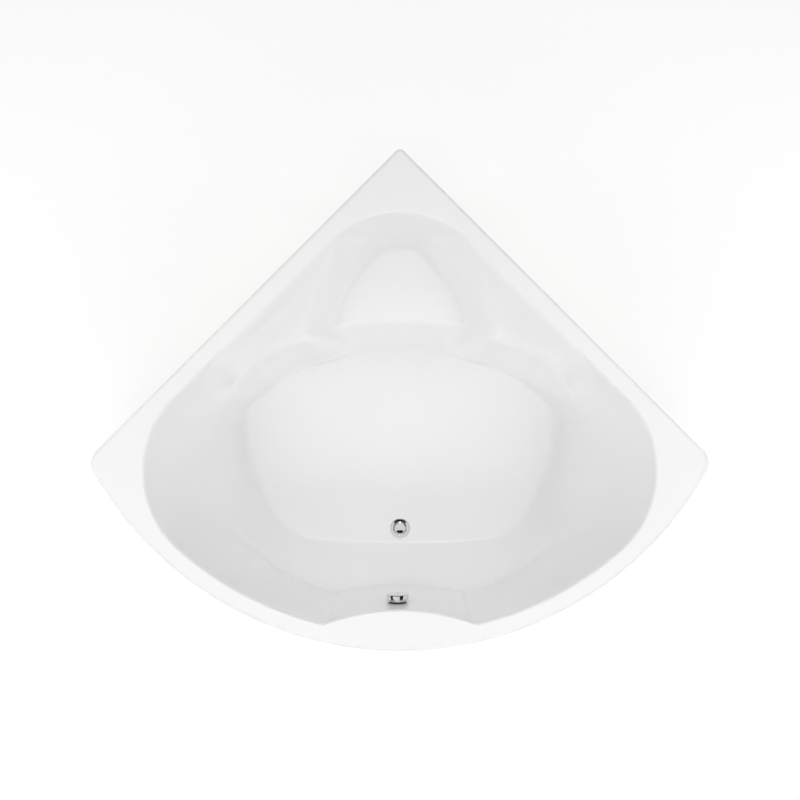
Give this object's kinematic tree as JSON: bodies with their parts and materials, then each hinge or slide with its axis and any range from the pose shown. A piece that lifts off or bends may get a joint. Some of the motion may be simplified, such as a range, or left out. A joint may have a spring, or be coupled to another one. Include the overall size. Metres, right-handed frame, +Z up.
{
  "type": "corner bathtub",
  "caption": "Corner bathtub of white acrylic with a moulded seat, side back rests, lever waste with turning overflow knob, levelling feet and a bowed front panel",
  "frame": {"origin": "centre of the bounding box's floor face; the room corner is at +Y and the bowed front at -Y", "axes": "X along the line between the two side corners (longest extent), Y towards the room corner, Z up (shortest extent)"},
  "size_m": [2.0158, 1.6363, 0.62],
  "materials": {
    "acrylic": "white cast acrylic, high gloss, glass-fibre backing",
    "panel_acrylic": "white acrylic sheet, high gloss",
    "panel_backing": "glass-fibre strip",
    "board": "chipboard sealed with resin",
    "timber": "plywood",
    "frame_paint": "grey powder coat",
    "zinc": "zinc plated",
    "rod_zinc": "zinc plated threaded rod",
    "foot_plastic": "black moulded plastic",
    "black_plastic": "black moulded plastic",
    "chrome": "polished chrome plate",
    "stainless": "stainless steel",
    "rubber": "black rubber",
    "white_plastic": "white polypropylene",
    "grey_plastic": "grey polypropylene"
  },
  "bodies": {
    "bath": {"back_corner_block": "timber", "base_board": "board", "bath_shell": "acrylic", "board_screws": "zinc", "cable_sheath": "black_plastic", "crank_pin": "zinc", "cross_beam": "frame_paint", "deck_block": "timber", "drain_flange": "chrome", "drain_seal": "rubber", "frame_bolts": "zinc", "frame_brackets": "zinc", "frame_nuts": "zinc", "front_batten": "timber", "hose_clips": "zinc", "leg_nuts": "zinc", "outlet_nut": "white_plastic", "outlet_pipe": "white_plastic", "overflow_body": "white_plastic", "overflow_hose": "grey_plastic", "overflow_rosette": "chrome", "overflow_seal_back": "rubber", "overflow_seal_front": "rubber", "panel_clips": "zinc", "runners": "frame_paint", "saddle_plates": "zinc", "side_blocks": "timber", "spine_beam": "frame_paint", "timber_screws": "zinc", "trap_cup": "white_plastic", "trap_nut": "white_plastic", "tube_end_caps": "black_plastic", "upright_back": "frame_paint", "uprights_front": "frame_paint", "uprights_side": "frame_paint", "wall_battens": "timber", "wall_brackets": "zinc", "waste_body": "white_plastic"},
    "leg_back": {"leg_rod_back": "rod_zinc", "leg_foot_back": "foot_plastic"},
    "leg_left": {"leg_rod_left": "rod_zinc", "leg_foot_left": "foot_plastic"},
    "leg_right": {"leg_rod_right": "rod_zinc", "leg_foot_right": "foot_plastic"},
    "leg_front_left": {"leg_rod_front_left": "rod_zinc", "leg_foot_front_left": "foot_plastic"},
    "leg_front_right": {"leg_rod_front_right": "rod_zinc", "leg_foot_front_right": "foot_plastic"},
    "panel": {"panel_sheet": "panel_acrylic", "panel_ribs": "panel_backing", "panel_tongues": "zinc"},
    "knob": {"knob_cap": "chrome", "knob_screw": "chrome", "knob_spindle": "stainless"},
    "yoke": {"yoke_slider": "grey_plastic"},
    "cable_puller": {"cable_end_low": "stainless"},
    "crank": {"bell_crank": "grey_plastic"},
    "plug": {"plug_cap": "chrome", "plug_seal": "rubber", "plug_stem": "stainless"}
  },
  "joints": [
    {"name": "leg_back_slide", "type": "slide", "parent": "bath", "child": "leg_back", "axis": [0, 0, -1], "range_m": [-0.01, 0.03]},
    {"name": "leg_left_slide", "type": "slide", "parent": "bath", "child": "leg_left", "axis": [0, 0, -1], "range_m": [-0.01, 0.03]},
    {"name": "leg_right_slide", "type": "slide", "parent": "bath", "child": "leg_right", "axis": [0, 0, -1], "range_m": [-0.01, 0.03]},
    {"name": "leg_front_left_slide", "type": "slide", "parent": "bath", "child": "leg_front_left", "axis": [0, 0, -1], "range_m": [-0.01, 0.03]},
    {"name": "leg_front_right_slide", "type": "slide", "parent": "bath", "child": "leg_front_right", "axis": [0, 0, -1], "range_m": [-0.01, 0.03]},
    {"name": "panel_slide", "type": "slide", "parent": "bath", "child": "panel", "axis": [0, -1, 0], "range_m": [0, 0.15]},
    {"name": "knob_turn", "type": "hinge", "parent": "bath", "child": "knob", "pos_m": [-0.008, -0.662, 0.512], "axis": [0, -1, 0], "range_deg": [0, 90]},
    {"name": "yoke_slide", "type": "slide", "parent": "bath", "child": "yoke", "axis": [0, 0, 1], "range_m": [0, 0.0145]},
    {"name": "cable_pull", "type": "slide", "parent": "bath", "child": "cable_puller", "axis": [-0.1285, -0.9917, 0], "range_m": [0, 0.0145]},
    {"name": "crank_turn", "type": "hinge", "parent": "bath", "child": "crank", "pos_m": [0.00206, -0.45663, 0.14], "axis": [-0.9917, 0.1285, 0], "range_deg": [0, 38]},
    {"name": "plug_lift", "type": "slide", "parent": "bath", "child": "plug", "axis": [0, 0, 1], "range_m": [0, 0.0111]}
  ],
  "couplings": [
    {"joint": "yoke_slide", "follows": "knob_turn", "m_per_rad": 0.0090031},
    {"joint": "cable_pull", "follows": "knob_turn", "m_per_rad": 0.0090031},
    {"joint": "crank_turn", "follows": "knob_turn", "ratio": 0.41667},
    {"joint": "plug_lift", "follows": "knob_turn", "m_per_rad": 0.0069137}
  ]
}
